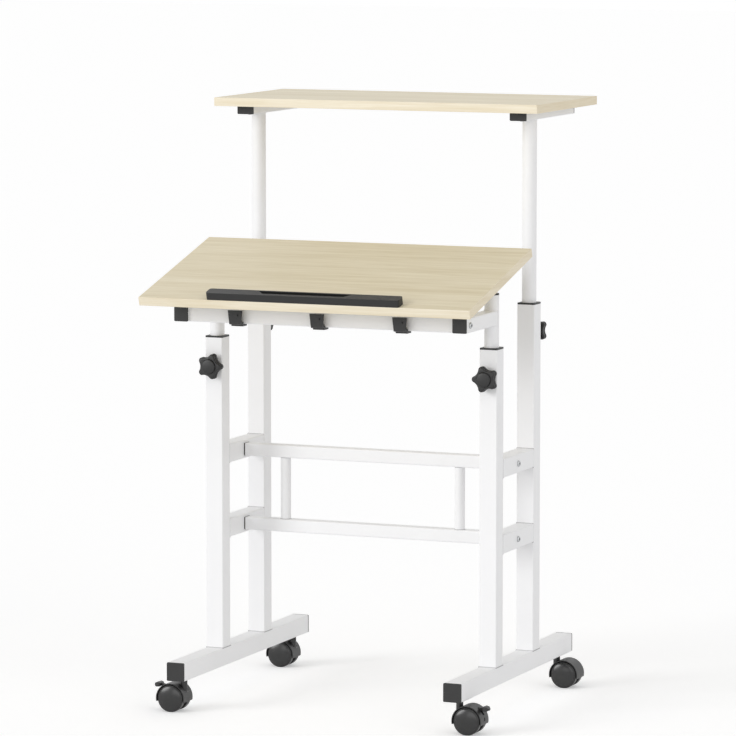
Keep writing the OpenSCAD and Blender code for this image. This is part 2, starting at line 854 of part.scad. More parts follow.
module brake_lever(side) {
    color(plastic_black) at_caster(side, caster_front_y) difference() {
        union() {
            caster_slab(lever_t / 2) {
                translate(lever_at) circle(lever_hub_r);
                polygon(lever_arm);
            }
            intersection() {
                caster_slab(lever_w / 2) polygon(lever_pad);
                translate([caster_trail, 0, wheel_r]) linear_extrude(2 * wheel_r) lever_plan();
            }
        }
        caster_slab(lever_t) translate(lever_at) circle(lever_pin_d / 2 + pin_gap);
    }
}

// Sub-parts under their own names

module foot_left() { foot(-1); }
module foot_right() { foot(1); }
module column_front_left() { column(-1, col_front_y, front_col_top, front_knob_drop, -1); }
module column_front_right() { column(1, col_front_y, front_col_top, front_knob_drop, -1); }
module column_rear_left() { column(-1, col_rear_y, rear_col_top, rear_knob_drop, 1); }
module column_rear_right() { column(1, col_rear_y, rear_col_top, rear_knob_drop, 1); }
module side_rungs_left() { side_rungs(-1); }
module side_rungs_right() { side_rungs(1); }
module crossbar_upper() { ladder_bar(rung_upper_z); }
module crossbar_lower() { ladder_bar(rung_lower_z); }
module desk_tube_left() { desk_tube(-1); }
module desk_tube_right() { desk_tube(1); }
module desk_arm_left() { desk_arm(-1); }
module desk_arm_right() { desk_arm(1); }
module shelf_tube_left() { shelf_tube(-1); }
module shelf_tube_right() { shelf_tube(1); }
module shelf_rail_left() { shelf_rail(-1); }
module shelf_rail_right() { shelf_rail(1); }
module stud_front_left() { stud(-1, col_front_y, front_knob_z, -1); }
module stud_front_right() { stud(1, col_front_y, front_knob_z, -1); }
module stud_rear_left() { stud(-1, col_rear_y, rear_knob_z, 1); }
module stud_rear_right() { stud(1, col_rear_y, rear_knob_z, 1); }
module knob_front_left() { knob(-1, col_front_y, front_knob_z, -1, 0); }
module knob_front_right() { knob(1, col_front_y, front_knob_z, -1, 180); }
module knob_rear_left() { knob(-1, col_rear_y, rear_knob_z, 1, 0); }
module knob_rear_right() { knob(1, col_rear_y, rear_knob_z, 1, 180); }
module hood_front_left() { hood(-1, caster_front_y, true); }
module hood_front_right() { hood(1, caster_front_y, true); }
module hood_rear_left() { hood(-1, caster_rear_y, false); }
module hood_rear_right() { hood(1, caster_rear_y, false); }
module wheel_front_left_fore() { wheel(-1, caster_front_y, -1); }
module wheel_front_left_aft() { wheel(-1, caster_front_y, 1); }
module wheel_front_right_fore() { wheel(1, caster_front_y, -1); }
module wheel_front_right_aft() { wheel(1, caster_front_y, 1); }
module wheel_rear_left_fore() { wheel(-1, caster_rear_y, -1); }
module wheel_rear_left_aft() { wheel(-1, caster_rear_y, 1); }
module wheel_rear_right_fore() { wheel(1, caster_rear_y, -1); }
module wheel_rear_right_aft() { wheel(1, caster_rear_y, 1); }
module brake_lever_left() { brake_lever(-1); }
module brake_lever_right() { brake_lever(1); }

foot_left();
foot_right();
frame_caps();
column_front_left();
column_front_right();
column_rear_left();
column_rear_right();
side_rungs_left();
side_rungs_right();
crossbar_upper();
crossbar_lower();
ladder_uprights();
frame_bolts();
column_collars();
caster_stems();
desk_tube_left();
desk_tube_right();
tube_plugs();
desk_arm_left();
desk_arm_right();
arm_caps();
desk_crossbar();
arm_bolts();
bag_hooks();
hinge_brackets();
hinge_pins();
desk_board();
hinge_leaves();
hinge_screws();
laptop_stop();
stop_screws();
shelf_tube_left();
shelf_tube_right();
shelf_rail_left();
shelf_rail_right();
rail_caps();
shelf_board();
shelf_screws();
stud_front_left();
stud_front_right();
stud_rear_left();
stud_rear_right();
knob_front_left();
knob_front_right();
knob_rear_left();
knob_rear_right();
hood_front_left();
hood_front_right();
hood_rear_left();
hood_rear_right();
wheel_front_left_fore();
wheel_front_left_aft();
wheel_front_right_fore();
wheel_front_right_aft();
wheel_rear_left_fore();
wheel_rear_left_aft();
wheel_rear_right_fore();
wheel_rear_right_aft();
brake_lever_left();
brake_lever_right();
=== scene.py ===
"""Mobile standing desk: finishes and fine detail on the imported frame, lit as in a plain studio."""

import json
import math

import bmesh
import bpy
from mathutils import Matrix, Vector


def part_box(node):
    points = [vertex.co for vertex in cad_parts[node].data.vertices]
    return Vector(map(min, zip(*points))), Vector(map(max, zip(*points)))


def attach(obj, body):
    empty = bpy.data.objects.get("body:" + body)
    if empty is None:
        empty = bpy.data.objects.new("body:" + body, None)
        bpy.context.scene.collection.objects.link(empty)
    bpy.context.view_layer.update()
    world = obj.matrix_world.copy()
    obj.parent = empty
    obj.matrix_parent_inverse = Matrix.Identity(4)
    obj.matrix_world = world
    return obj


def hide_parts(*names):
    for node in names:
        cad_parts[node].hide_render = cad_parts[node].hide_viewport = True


# Lengths are written in millimetres, and MM turns them to metres
MM = 0.001
Y, Z = Vector((0, 1, 0)), Vector((0, 0, 1))
# Which way each side and each end of the desk lies, on X and on Y
SIDES = {"left": -1, "right": 1}
ENDS = {"front": -1, "rear": 1}

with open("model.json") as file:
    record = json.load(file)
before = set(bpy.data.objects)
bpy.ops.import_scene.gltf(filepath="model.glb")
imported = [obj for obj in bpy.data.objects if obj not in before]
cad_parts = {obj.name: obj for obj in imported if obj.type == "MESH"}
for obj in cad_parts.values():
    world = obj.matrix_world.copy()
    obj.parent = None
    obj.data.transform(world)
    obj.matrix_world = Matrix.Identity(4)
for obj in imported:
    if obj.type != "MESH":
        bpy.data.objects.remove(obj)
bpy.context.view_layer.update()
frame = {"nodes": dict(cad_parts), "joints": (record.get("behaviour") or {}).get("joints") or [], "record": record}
nodes = frame["nodes"]
pins = {joint["name"]: Vector(joint["pos_m"]) for joint in frame["joints"] if "pos_m" in joint}


# Materials

def srgb(code):
    """Turns an sRGB hex colour to the linear colour that a shader takes."""
    shares = [int(code[i:i + 2], 16) / 255 for i in (1, 3, 5)]
    return [s / 12.92 if s <= 0.04045 else ((s + 0.055) / 1.055) ** 2.4 for s in shares] + [1]


def add(tree, kind, inputs=None, **settings):
    """Adds one node with its settings, and links or sets each input."""
    node = tree.nodes.new(kind)
    for name, value in settings.items():
        setattr(node, name, value)
    for name, value in (inputs or {}).items():
        if isinstance(value, bpy.types.NodeSocket):
            tree.links.new(value, node.inputs[name])
        else:
            node.inputs[name].default_value = value
    return node


def empty_material(name):
    material = bpy.data.materials.new(name)
    material.use_nodes = True
    material.node_tree.nodes.clear()
    return material, material.node_tree


# Sockets of the Mix node in its colour mode
FACTOR, COLOR_A, COLOR_B, COLOR_OUT = 0, 6, 7, 2

# Width of the coat's orange peel, as drawn, and of the clouds in its tone
PEEL, COAT_CLOUD = 3, 80


def powder_coat(name, dark, light):
    """White polyester powder coat, sprayed and baked on steel tube.

    It is a satin white with a faint orange peel. The real peel is about 1.2 mm across, and it is
    drawn at 3 mm, because a finer one doesn't show in the render. A grey copy of the coat is
    painted shade: on the weld beads it stands for the contact shadow in the corner of a joint.
    """
    material, tree = empty_material(name)
    place = add(tree, "ShaderNodeTexCoord").outputs["Object"]
    peel = add(tree, "ShaderNodeTexNoise",
               {"Vector": place, "Scale": 1 / (PEEL * MM), "Detail": 2, "Roughness": 0.4})
    cloud = add(tree, "ShaderNodeTexNoise",
                {"Vector": place, "Scale": 1 / (COAT_CLOUD * MM), "Detail": 2})
    tone = add(tree, "ShaderNodeMix",
               {FACTOR: cloud.outputs["Fac"], COLOR_A: srgb(dark), COLOR_B: srgb(light)},
               data_type="RGBA")
    gloss = add(tree, "ShaderNodeMapRange",
                {"Value": peel.outputs["Fac"], "To Min": 0.36, "To Max": 0.44})
    skin = add(tree, "ShaderNodeBump",
               {"Height": peel.outputs["Fac"], "Distance": 0.05 * MM, "Strength": 0.5})
    coat = add(tree, "ShaderNodeBsdfPrincipled",
               {"Base Color": tone.outputs[COLOR_OUT], "Roughness": gloss.outputs["Result"],
                "IOR": 1.5, "Normal": skin.outputs["Normal"]})
    add(tree, "ShaderNodeOutputMaterial", {"Surface": coat.outputs["BSDF"]})
    return material


# Width of the marks that the plastic's flow leaves in its tone and gloss
FLOW = 25


def moulded(name, dark, light, grain, dull, sharp, depth):
    """Black plastic, injection moulded in a tool with a spark-eroded grain.

    The grain breaks the gloss into a soft grey sheen. A real grain is 0.1 to 0.3 mm across, and it
    is drawn coarser here, so that it shows close up: grain and depth are its width and depth. A
    polished tool leaves a flatter, glossier face, as on the discs of the wheels.
    """
    material, tree = empty_material(name)
    place = add(tree, "ShaderNodeTexCoord").outputs["Object"]
    pits = add(tree, "ShaderNodeTexNoise",
               {"Vector": place, "Scale": 1 / (grain * MM), "Detail": 3, "Roughness": 0.6})
    flow = add(tree, "ShaderNodeTexNoise", {"Vector": place, "Scale": 1 / (FLOW * MM), "Detail": 3})
    tone = add(tree, "ShaderNodeMix",
               {FACTOR: flow.outputs["Fac"], COLOR_A: srgb(dark), COLOR_B: srgb(light)},
               data_type="RGBA")
    gloss = add(tree, "ShaderNodeMapRange",
                {"Value": flow.outputs["Fac"], "To Min": sharp, "To Max": dull})
    skin = add(tree, "ShaderNodeBump",
               {"Height": pits.outputs["Fac"], "Distance": depth * MM, "Strength": 0.6})
    plastic = add(tree, "ShaderNodeBsdfPrincipled",
                  {"Base Color": tone.outputs[COLOR_OUT], "Roughness": gloss.outputs["Result"],
                   "IOR": 1.5, "Normal": skin.outputs["Normal"]})
    add(tree, "ShaderNodeOutputMaterial", {"Surface": plastic.outputs["BSDF"]})
    return material


# Width of the grain's threads, as drawn, and of its streaks, and their width as a share of their
# length
THREAD, STREAK, DRAWN_OUT = 3, 14, 0.04


def maple_look(name, dark, light, along, dull):
    """Printed decor paper under melamine, or the printed plastic edge band that goes with it.

    The print shows quiet maple grain: threads and wavy, slightly darker and lighter streaks that
    run the length of the board. Real threads are about a millimetre apart and are drawn at 3 mm,
    so that they show. The surface is a smooth, even satin.
    """
    material, tree = empty_material(name)
    place = add(tree, "ShaderNodeTexCoord").outputs["Object"]
    run = {"X": (DRAWN_OUT, 1, 1), "Y": (1, DRAWN_OUT, 1)}[along]
    fine = add(tree, "ShaderNodeMapping",
               {"Vector": place, "Scale": [s / (THREAD * MM) for s in run]})
    wide = add(tree, "ShaderNodeMapping",
               {"Vector": place, "Scale": [s / (STREAK * MM) for s in run]})
    threads = add(tree, "ShaderNodeTexNoise",
                  {"Vector": fine.outputs["Vector"], "Scale": 1, "Detail": 3, "Roughness": 0.65})
    bands = add(tree, "ShaderNodeTexNoise",
                {"Vector": wide.outputs["Vector"], "Scale": 1, "Detail": 3, "Roughness": 0.6,
                 "Distortion": 0.8})
    thin = add(tree, "ShaderNodeMapRange",
               {"Value": threads.outputs["Fac"], "From Min": 0.3, "From Max": 0.7,
                "To Min": 0, "To Max": 0.4})
    broad = add(tree, "ShaderNodeMapRange",
                {"Value": bands.outputs["Fac"], "From Min": 0.3, "From Max": 0.7,
                 "To Min": 0, "To Max": 0.6})
    grain = add(tree, "ShaderNodeMath", {0: thin.outputs["Result"], 1: broad.outputs["Result"]},
                operation="ADD")
    tone = add(tree, "ShaderNodeMix",
               {FACTOR: grain.outputs["Value"], COLOR_A: srgb(dark), COLOR_B: srgb(light)},
               data_type="RGBA")
    skin = add(tree, "ShaderNodeBump",
               {"Height": threads.outputs["Fac"], "Distance": 0.02 * MM, "Strength": 0.4})
    melamine = add(tree, "ShaderNodeBsdfPrincipled",
                   {"Base Color": tone.outputs[COLOR_OUT], "Roughness": dull, "IOR": 1.5,
                    "Normal": skin.outputs["Normal"]})
    add(tree, "ShaderNodeOutputMaterial", {"Surface": melamine.outputs["BSDF"]})
    return material


# Width of the clouds in the plating's shine
PLATE_CLOUD = 4


def zinc_plate(name, dark, light, sharp, dull):
    """Bright zinc plating on pressed and turned steel.

    It is a cool grey metal, with soft reflections and a slightly cloudy shine. A dark, dull copy
    of it is painted shade inside the sockets and recesses of the heads.
    """
    material, tree = empty_material(name)
    place = add(tree, "ShaderNodeTexCoord").outputs["Object"]
    cloud = add(tree, "ShaderNodeTexNoise",
                {"Vector": place, "Scale": 1 / (PLATE_CLOUD * MM), "Detail": 4, "Roughness": 0.6})
    tone = add(tree, "ShaderNodeMix",
               {FACTOR: cloud.outputs["Fac"], COLOR_A: srgb(dark), COLOR_B: srgb(light)},
               data_type="RGBA")
    gloss = add(tree, "ShaderNodeMapRange",
                {"Value": cloud.outputs["Fac"], "To Min": sharp, "To Max": dull})
    plate = add(tree, "ShaderNodeBsdfPrincipled",
                {"Base Color": tone.outputs[COLOR_OUT], "Roughness": gloss.outputs["Result"],
                 "Metallic": 1})
    add(tree, "ShaderNodeOutputMaterial", {"Surface": plate.outputs["BSDF"]})
    return material


COAT = powder_coat("white_powder_coat", "#F0F0F1", "#F5F5F6")
# A grey copy of the coat: painted shade for the contact shadow in the corners of the joints
JOINT_SHADE_COAT = powder_coat("painted_joint_shade", "#ADADAE", "#B8B8B9")
BLACK = moulded("black_polypropylene", "#151515", "#1C1C1C", 0.7, 0.5, 0.4, 0.06)
NYLON = moulded("black_nylon", "#1E1E1E", "#252525", 0.9, 0.42, 0.34, 0.03)
DISC = moulded("black_nylon_polished", "#222222", "#282828", 1.5, 0.22, 0.17, 0.006)
ZINC = zinc_plate("zinc_plated_steel", "#A9ACAE", "#C6C8C9", 0.28, 0.42)
# A dark copy of the plating: painted shade inside the bolts' sockets and the screws' recesses
SOCKET_SHADE = zinc_plate("painted_socket_shade", "#2E2F30", "#3E3F40", 0.5, 0.6)
MAPLE = maple_look("maple_melamine", "#D4C6A3", "#ECE2C8", "X", 0.42)
BAND_LONG = maple_look("maple_edge_band", "#E0D2B3", "#F6EEDB", "X", 0.38)
# The band on the boards' ends is drawn darker and a little yellower than the long bands: the darkening is painted
# shade, and the yellower tone is the band's own
BAND_SIDE_SHADED = maple_look("maple_edge_band_side_shaded", "#DCCCA9", "#F1E6CD", "Y", 0.38)

FINISH = {"white_steel": COAT, "black_plastic": BLACK, "caster_plastic": NYLON,
          "pale_wood": MAPLE, "zinc_steel": ZINC}


# Making pieces

# Points closer than this are one point, on a turned shape and on a CAD mesh
SAME_POINT, SAME_CAD_POINT = 0.001, 0.005
# In degrees: CAD faces that differ by less are one flat face, and edges that turn by more are sharp
FLAT, SHARP = 0.5, 35
# Steps across every rounded edge, and round most turned shapes
ROUND_STEPS, TURN_STEPS = 3, 48
# In degrees, the turn past which an edge is shaded sharp: on most pieces, softened CAD nodes,
# knobs and weld beads
CREASE, SOFT_CREASE, KNOB_CREASE, BEAD_CREASE = 40, 50, 45, 60


def turn(profile, steps=TURN_STEPS):
    """A turned shape round Z, from pairs of radius and height."""
    shape = bmesh.new()
    points = [shape.verts.new((r * MM, 0, h * MM)) for r, h in profile]
    lines = [shape.edges.new(pair) for pair in zip(points, points[1:])]
    bmesh.ops.spin(shape, geom=points + lines, cent=(0, 0, 0), axis=Z, dvec=(0, 0, 0),
                   angle=math.tau, steps=steps, use_merge=True)
    bmesh.ops.remove_doubles(shape, verts=shape.verts, dist=SAME_POINT * MM)
    bmesh.ops.recalc_face_normals(shape, faces=shape.faces)
    return shape


def reshape(shape, low, high, share):
    """Stretches the rings whose radius is from low to high by share(angle)."""
    for vert in shape.verts:
        if low * MM < vert.co.xy.length < high * MM:
            vert.co.xy *= share(math.atan2(vert.co.y, vert.co.x))


def put(target, shape, place):
    """Puts a copy of a shape into target."""
    mesh = bpy.data.meshes.new("copy")
    shape.to_mesh(mesh)
    mesh.transform(place)
    target.from_mesh(mesh)
    bpy.data.meshes.remove(mesh)


def piece(name, shape, body, replaced, finishes, crease=CREASE):
    """Makes a shape a piece that rides on a body and stands for the CAD nodes in replaced."""
    mesh = bpy.data.meshes.new(name)
    shape.to_mesh(mesh)
    shape.free()
    mesh.shade_smooth()
    mesh.set_sharp_from_angle(angle=math.radians(crease))
    for finish in finishes:
        mesh.materials.append(finish)
    made = bpy.data.objects.new(name, mesh)
    bpy.context.scene.collection.objects.link(made)
    even = made.modifiers.new("even_shading", "WEIGHTED_NORMAL")
    even.keep_sharp = True
    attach(made, body)
    if replaced:
        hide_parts(*replaced)
    return made


def soften(node, body, slot, radius):
    """A copy of a CAD node with its sharp edges rounded, which stands for it."""
    shape = bmesh.new()
    shape.from_mesh(nodes[node].data)
    bmesh.ops.remove_doubles(shape, verts=shape.verts, dist=SAME_CAD_POINT * MM)
    bmesh.ops.dissolve_limit(shape, angle_limit=math.radians(FLAT), verts=shape.verts,
                             edges=shape.edges)
    edges = [e for e in shape.edges
             if e.is_manifold and e.calc_face_angle() > math.radians(SHARP)]
    bmesh.ops.bevel(shape, geom=edges, offset=radius * MM, offset_type="OFFSET",
                    affect="EDGES", segments=ROUND_STEPS, profile=0.5, material=-1,
                    clamp_overlap=True)
    piece(node + "_finished", shape, body, [node], [FINISH[slot]], SOFT_CREASE)


# Boards

BOARD_W, BOARD_D, BOARD_T = 600, 300, 15
# Thickness of the edge band, depth and half the width of the seam inside it, and radius of the
# band's own edges
BAND_T, SEAM, BAND_ROUND = 1, 0.15, 0.6
# The desktop's slope in degrees, and from its front edge and underside to the hinges' axis
DESK_TILT, HINGE_SETBACK, HINGE_DROP = 15.3, 84, 12

# Material slots of a board
ON_FACE, ON_LONG_BAND, ON_SIDE_BAND = 0, 1, 2


def board(name, node, body, place):
    """A faced board with an edge band let in round it, which leaves a fine seam on both faces."""
    shape = bmesh.new()
    size = Matrix.Diagonal((BOARD_W * MM, BOARD_D * MM, BOARD_T * MM, 1))
    bmesh.ops.create_cube(shape, size=1, matrix=size)
    for face in shape.faces:
        face.material_index = ON_SIDE_BAND if abs(face.normal.x) > 0.5 else ON_LONG_BAND
    rims = list(shape.edges)
    broad = [face for face in shape.faces if abs(face.normal.z) > 0.5]
    bmesh.ops.inset_individual(shape, faces=broad, thickness=(BAND_T - SEAM) * MM)
    bmesh.ops.inset_individual(shape, faces=broad, thickness=SEAM * MM, depth=-SEAM * MM)
    bmesh.ops.inset_individual(shape, faces=broad, thickness=SEAM * MM, depth=SEAM * MM)
    for face in broad:
        face.material_index = ON_FACE
    bmesh.ops.bevel(shape, geom=rims, offset=BAND_ROUND * MM, offset_type="OFFSET",
                    affect="EDGES", segments=ROUND_STEPS, profile=0.5, material=-1)
    shape.transform(place)
    piece(name, shape, body, [node], [MAPLE, BAND_LONG, BAND_SIDE_SHADED])


low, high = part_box("shelf_board")
board("shelf_panel", "shelf_board", "shelf_frame", Matrix.Translation((low + high) / 2))
# From the hinges' axis, along and square to the sloping desktop
slope = Matrix.Rotation(math.radians(DESK_TILT), 4, "X")
on_desktop = Matrix.Translation(pins["desk_tilt"]) @ slope
middle = Vector((0, BOARD_D / 2 - HINGE_SETBACK, HINGE_DROP + BOARD_T / 2)) * MM
board("desk_panel", "desk_board", "desktop", on_desktop @ Matrix.Translation(middle))


# Star knobs

# Radius to the lobes' tips, of a lobe, and to the bottom of a valley
KNOB_R, LOBE_R, VALLEY_R = 22.75, 5.2, 16.55
LOBES = 5
# From the column's axis to the back of the hub
KNOB_SEAT = 22
# Rings between these radii, the second just past the rim, follow the lobes
STAR_FROM, STAR_TO = 16, 24
# Above this height lies the star plate, which falls away outside the valleys' radius by this share
PLATE_FROM, LOBE_FALL = 11, 0.1
KNOB_STEPS = 160
# Hub, back, skirt, groove, star plate, groove and raised disc
KNOB_PROFILE = [
    (0, 0), (9.4, 0), (10, 0.6), (10, 1.5), (18, 1.5), (21.3, 1.8), (22.4, 2.4), (22.75, 3.4),
    (22.75, 6.9), (22.4, 7.7), (21.6, 8.1), (20.6, 8.3), (20.2, 8.8), (20.2, 10.8), (20.6, 11.2),
    (21.6, 11.4), (22.3, 11.9), (22.5, 12.8), (22.4, 13.9), (21.8, 14.9), (20.8, 15.6),
    (19.4, 15.9), (17.4, 16), (13.3, 16), (12.9, 15.8), (12.7, 15.3), (12.6, 15.8), (12.5, 17.4),
    (12.1, 18.1), (11, 18.5), (9, 18.9), (6, 19.25), (3, 19.45), (0, 19.5),
]


def lobed(angle):
    """Radius of the lobed outline: round tips and round valleys that meet without a corner."""
    half = math.pi / LOBES
    turned = abs((angle + half) % (2 * half) - half)
    tip = KNOB_R - LOBE_R
    valley = ((tip ** 2 - (VALLEY_R - LOBE_R) ** 2)
              / (2 * (tip * math.cos(half) - VALLEY_R + LOBE_R)))
    to_valley = Vector((valley * math.cos(half) - tip, valley * math.sin(half))).normalized()
    meet = Vector((tip, 0)) + LOBE_R * to_valley
    if turned < math.atan2(meet.y, meet.x):
        return tip * math.cos(turned) + math.sqrt(LOBE_R ** 2 - (tip * math.sin(turned)) ** 2)
    aside = half - turned
    hollow = valley - VALLEY_R
    return valley * math.cos(aside) - math.sqrt(hollow ** 2 - (valley * math.sin(aside)) ** 2)


for end, facing in ENDS.items():
    for side, hand in SIDES.items():
        name = f"knob_{end}_{side}"
        knob = turn(KNOB_PROFILE, KNOB_STEPS)
        reshape(knob, STAR_FROM, STAR_TO, lambda angle: lobed(angle) / KNOB_R)
        for vert in knob.verts:
            out = vert.co.xy.length / MM - VALLEY_R
            if out > 0 and vert.co.z > PLATE_FROM * MM:
                vert.co.z -= LOBE_FALL * out * MM
        # One lobe points to the desk's middle
        first = Matrix.Rotation(math.pi if hand > 0 else 0, 4, "Z")
        upright = Matrix.Rotation(math.radians(-90 * facing), 4, "X")
        seat = pins[f"knob_turn_{end}_{side}"] + Y * facing * KNOB_SEAT * MM
        knob.transform(Matrix.Translation(seat) @ upright @ first)
        piece(f"{name}_star", knob, name, [name], [BLACK], KNOB_CREASE)


# Casters

# From the caster's middle to the inner side of a wheel
WHEEL_INNER = 6.5
# Blind bore, inner side, tread, rim, seam and domed disc
WHEEL_PROFILE = [
    (0, 10), (3.06, 10), (3.06, 0), (7, 0), (7.6, 0.6), (18.6, 0.6), (19.2, 0), (22.3, 0),
    (23, 0.4), (23.4, 1.2), (23.5, 2.4), (23.5, 9.8), (23.3, 10.6), (22.8, 11.2), (22.1, 11.5),
    (21.9, 11.2), (21.6, 11.2), (21.4, 11.6), (20.6, 12), (19, 12.5), (17, 12.95), (14.5, 13.4),
    (12, 13.75), (9, 14.1), (6, 14.33), (3, 14.46), (0, 14.5),
]
# The disc's radius, and the height on the profile above which faces belong to it
DISC_R, DISC_FROM = 21.6, 11
WHEEL_STEPS = 96
ON_DISC = 1
# Radius of the edges of a hood and of a brake lever
HOOD_ROUND, LEVER_ROUND = 0.4, 0.6

for end in ENDS:
    for side in SIDES:
        caster = f"{end}_{side}"
        for which, facing in (("fore", -1), ("aft", 1)):
            name = f"wheel_{caster}_{which}"
            wheel = turn(WHEEL_PROFILE, WHEEL_STEPS)
            for face in wheel.faces:
                middle = face.calc_center_median()
                if middle.z > DISC_FROM * MM and middle.xy.length < DISC_R * MM:
                    face.material_index = ON_DISC
            upright = Matrix.Rotation(math.radians(-90 * facing), 4, "X")
            seat = pins[f"roll_{caster}_{which}"] + Y * facing * WHEEL_INNER * MM
            wheel.transform(Matrix.Translation(seat) @ upright)
            piece(f"{name}_turned", wheel, name, [name], [NYLON, DISC])
        soften(f"hood_{caster}", f"hood_{caster}", "caster_plastic", HOOD_ROUND)
for side in SIDES:
    soften(f"brake_lever_{side}", f"brake_{side}", "caster_plastic", LEVER_ROUND)


# Caps, collars, hooks, laptop stop and hinges

# Node, body, slot and the radius of its edges
ROUNDED = [
    ("frame_caps", "base", "black_plastic", 1),
    ("column_collars", "base", "black_plastic", 0.5),
    ("tube_plugs", "desk_frame", "black_plastic", 1),
    ("arm_caps", "desk_frame", "black_plastic", 1.2),
    ("bag_hooks", "desk_frame", "black_plastic", 0.6),
    ("hinge_brackets", "desk_frame", "zinc_steel", 0.4),
    ("hinge_leaves", "desktop", "zinc_steel", 0.4),
    ("laptop_stop", "desktop", "black_plastic", 1.4),
    ("rail_caps", "shelf_frame", "black_plastic", 1.2),
]
for node, body, slot, radius in ROUNDED:
    soften(node, body, slot, radius)


# Bolts and screws

# Head with a rolled crown, and the socket's mouth, wall and drilled floor
BOLT_HEAD = [
    (3, 0), (5, 0), (5.25, 0.25), (5.25, 0.9), (5, 1.8), (4.4, 2.6), (3.6, 3.15), (2.9, 3.3),
    (2.5, 3.2), (2.301, 2.95), (2.3, 0.9), (0, 0),
]
# Height of the head, radius of the shank and of the socket, and the shanks' lengths
HEAD_H, BOLT_SHANK, SOCKET_R = 3.3, 3, 2.3
FRAME_BOLT, ARM_BOLT = 44, 37
# Domed head, the recess and its floor
SCREW_HEAD = [
    (2, 0), (3.7, 0), (4, 0.2), (3.95, 0.7), (3.5, 1.3), (2.8, 1.75), (1.9, 1.98), (1.5, 2),
    (1.301, 1.85), (1.3, 0.6), (0, 0.4),
]
# Radius and height of the head, radius of the shank and of the recess, and the shanks' lengths
SCREW_HEAD_R, SCREW_HEAD_H, SCREW_SHANK, RECESS_R = 4, 2, 2, 1.3
LEAF_SCREW, STOP_SCREW, SHELF_SCREW = 12.5, 22, 25
# Bevel at a shank's tip, across and along it
TIP_ACROSS, TIP_ALONG = 0.4, 0.6
# Rings this close to a socket's radius are its wall
WALL_NEAR = 0.1
# A cross has this many arms, and they reach past the recess's radius by this share
CROSS_ARMS, CROSS_REACH = 4, 0.3
# Material slot of the faces inside a socket or recess, which take the painted shade
IN_SOCKET = 1


def six_sided(angle):
    """How far out a hexagon's wall is, as a share of the radius to its corners."""
    half = math.pi / 6
    return math.cos(half) / math.cos((angle + half) % (2 * half) - half)


def crossed(angle):
    """How far out a cross's wall is, as a share of the recess's radius."""
    return 1 + CROSS_REACH * math.cos(CROSS_ARMS * angle)


def fasteners(name, node, body, head, shank, reach, socket, outline, places):
    """Bolts or screws: a plain shank down from the head's seat, and a socket in the head."""
    tip = [(0, -reach), (shank - TIP_ACROSS, -reach), (shank, -reach + TIP_ALONG)]
    one = turn(tip + head)
    for face in one.faces:
        middle = face.calc_center_median()
        if middle.z > 0 and middle.xy.length < socket * MM:
            face.material_index = IN_SOCKET
    reshape(one, socket - WALL_NEAR, socket + WALL_NEAR, outline)
    shape = bmesh.new()
    for place in places:
        put(shape, one, place)
    one.free()
    piece(name, shape, body, [node], [ZINC, SOCKET_SHADE])


def outward(hand, x, y, z):
    """A place on the outside of a rung or arm, where a bolt goes in towards the middle."""
    return Matrix.Translation((x * hand, y, z)) @ Matrix.Rotation(math.radians(90 * hand), 4, "Y")


low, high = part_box("frame_bolts")
ladder_y = (low.y + high.y) / 2
bars = [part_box(f"crossbar_{which}") for which in ("upper", "lower")]
bar_z = [(low.z + high.z) / 2 for low, high in bars]
fasteners("frame_bolts_socketed", "frame_bolts", "base", BOLT_HEAD, BOLT_SHANK, FRAME_BOLT,
          SOCKET_R, six_sided,
          [outward(hand, high.x - HEAD_H * MM, ladder_y, z) for hand in (-1, 1) for z in bar_z])
low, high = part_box("arm_bolts")
fasteners("arm_bolts_socketed", "arm_bolts", "desk_frame", BOLT_HEAD, BOLT_SHANK, ARM_BOLT,
          SOCKET_R, six_sided,
          [outward(hand, high.x - HEAD_H * MM, (low.y + high.y) / 2, (low.z + high.z) / 2)
           for hand in (-1, 1)])

# Screws go up from below
upward = Matrix.Rotation(math.pi, 4, "X")
# From the desk's middle to a hinge, thickness of its leaf, and the screws' places on it
HINGE_X, LEAF_T = 185, 2.5
LEAF_SCREWS = [(-18, -22), (18, -22), (-18, 32), (18, 32)]
# The stop's screws, from the middle and from the hinges' axis
STOP_X, STOP_Y = 130, -72


def under_desktop(x, y, z):
    """A place under the sloping desktop, where a screw goes up into it."""
    return on_desktop @ Matrix.Translation(Vector((x, y, z)) * MM) @ upward


fasteners("hinge_screws_crossed", "hinge_screws", "desktop", SCREW_HEAD, SCREW_SHANK, LEAF_SCREW,
          RECESS_R, crossed,
          [under_desktop(x + hand * HINGE_X, y, HINGE_DROP - LEAF_T)
           for hand in (-1, 1) for x, y in LEAF_SCREWS])
fasteners("stop_screws_crossed", "stop_screws", "desktop", SCREW_HEAD, SCREW_SHANK, STOP_SCREW,
          RECESS_R, crossed,
          [under_desktop(hand * STOP_X, STOP_Y, HINGE_DROP) for hand in (-1, 1)])
low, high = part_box("shelf_screws")
inset = SCREW_HEAD_R * MM
fasteners("shelf_screws_crossed", "shelf_screws", "shelf_frame", SCREW_HEAD, SCREW_SHANK,
          SHELF_SCREW, RECESS_R, crossed,
          [Matrix.Translation((x, y, low.z + SCREW_HEAD_H * MM)) @ upward
           for x in (low.x + inset, high.x - inset) for y in (low.y + inset, high.y - inset)])


# Weld beads, painted over with the frame; the grey on them is painted shade in the joints' corners

# Height of a bead over the tube, and as shares of it the rounding of a rim and a ring's shoulder
BEAD, BEAD_ROUND, SHOULDER = 0.9, 0.98, 0.7
# How deep a ring goes into its tube
RING_ROOT = 0.5
# Material slots of a bead: grey, which is painted shade for the contact shadow in a joint's corner, and white coat
PAINTED_SHADE_BEAD, WHITE_BEAD = 0, 1
# Radius of the boss that a knob's stud goes through
BOSS_R = 8
# From an arm's joint back to its end
ARM_END = 0.5


